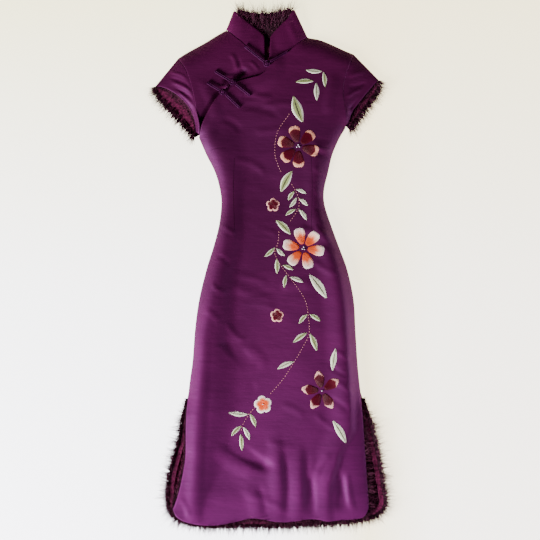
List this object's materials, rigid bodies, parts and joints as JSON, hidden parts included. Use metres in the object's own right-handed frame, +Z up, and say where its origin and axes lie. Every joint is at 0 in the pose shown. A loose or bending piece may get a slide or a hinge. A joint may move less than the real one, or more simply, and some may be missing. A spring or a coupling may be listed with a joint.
{
  "type": "fur-lined qipao dress",
  "caption": "Fitted plum satin qipao laid flat, with a stand collar, cap sleeves, frog closures, side slits and fur edging.",
  "frame": {"origin": "centre of the laid-out dress's box, on the surface that it lies on", "axes": "+X towards the wearer's left, +Y from the hem towards the collar, +Z up from the surface"},
  "size_m": [0.5184, 1.1475, 0.0305],
  "materials": {
    "satin": "plum silk satin with a soft sheen",
    "plush": "short wine plush",
    "fur": "dark maroon-brown fur",
    "frog_cord": "plum satin cord"
  },
  "bodies": {
    "root": {"back_panel": "satin", "front_panel": "satin", "under_lap": "satin", "right_sleeve": "satin", "left_sleeve": "satin", "collar": "satin", "back_lining": "plush", "front_lining": "plush", "right_sleeve_fur": "fur", "left_sleeve_fur": "fur", "collar_fur": "fur", "front_fur_trim": "fur", "back_fur_trim": "fur", "frog_1_loop": "frog_cord", "frog_1_tail": "frog_cord", "frog_1_button": "frog_cord", "frog_2_loop": "frog_cord", "frog_2_tail": "frog_cord", "frog_2_button": "frog_cord", "frog_3_loop": "frog_cord", "frog_3_tail": "frog_cord", "frog_3_button": "frog_cord"}
  },
  "joints": []
}
